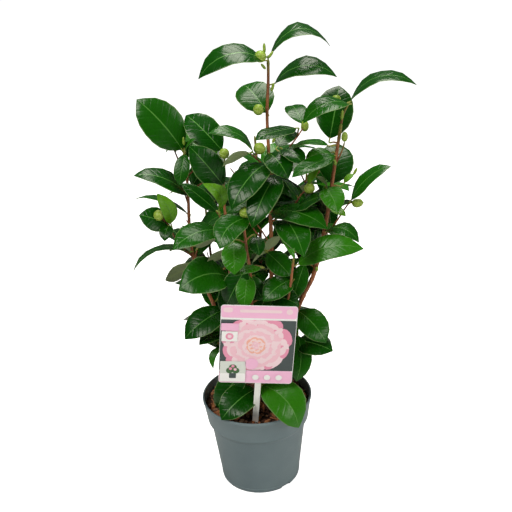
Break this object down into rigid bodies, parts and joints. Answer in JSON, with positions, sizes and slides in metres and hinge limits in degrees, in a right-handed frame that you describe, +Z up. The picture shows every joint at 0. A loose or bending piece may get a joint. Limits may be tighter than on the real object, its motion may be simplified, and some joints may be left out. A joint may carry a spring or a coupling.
{
  "type": "potted camellia shrub",
  "caption": "Young camellia shrub in a tapered nursery pot of compost: slim upright stems, glossy evergreen leaves with round flower buds, and a plain picture tag.",
  "frame": {"origin": "centre of the pot's flat underside, on the surface that the pot stands on", "axes": "+Z up along the pot's axis, +X to the right as seen from the tag's side, -Y out of the tag's face"},
  "size_m": [0.3537, 0.25, 0.6206],
  "materials": {
    "pot": "moulded polypropylene, slate grey, matt",
    "compost": "moist potting compost topped with bark chips",
    "bark": "smooth cinnamon-brown young bark",
    "foliage": "glossy leathery evergreen leaves, paler and matt underneath",
    "tag_card": "printed plastic card, plain flower picture, no lettering",
    "tag_stick": "off-white moulded plastic stick"
  },
  "bodies": {
    "root": {"pot": "pot", "compost": "compost", "tag_stick": "tag_stick", "tag_card": "tag_card", "leader_stem": "bark", "right_stem": "bark", "left_stem": "bark", "front_stem": "bark", "middle_stem": "bark", "low_right_stem": "bark", "back_stem": "bark", "back_left_stem": "bark", "back_right_stem": "bark", "crown_tip_foliage": "foliage", "leader_upper_foliage": "foliage", "leader_middle_foliage": "foliage", "upper_left_foliage": "foliage", "left_top_foliage": "foliage", "left_upper_foliage": "foliage", "left_outer_foliage": "foliage", "left_lower_foliage": "foliage", "centre_left_foliage": "foliage", "centre_foliage": "foliage", "right_middle_foliage": "foliage", "centre_lower_foliage": "foliage", "right_top_foliage": "foliage", "right_upper_foliage": "foliage", "right_outer_foliage": "foliage", "right_lower_foliage": "foliage", "low_right_foliage": "foliage", "front_foliage": "foliage", "front_low_foliage": "foliage", "leader_foot_foliage": "foliage", "skirt_left_foliage": "foliage", "skirt_right_foliage": "foliage", "rim_left_foliage": "foliage", "rim_right_foliage": "foliage", "back_top_foliage": "foliage", "back_middle_foliage": "foliage", "back_left_foliage": "foliage", "back_right_foliage": "foliage", "back_lower_foliage": "foliage", "back_low_left_foliage": "foliage", "back_low_right_foliage": "foliage", "back_skirt_foliage": "foliage"}
  },
  "joints": []
}
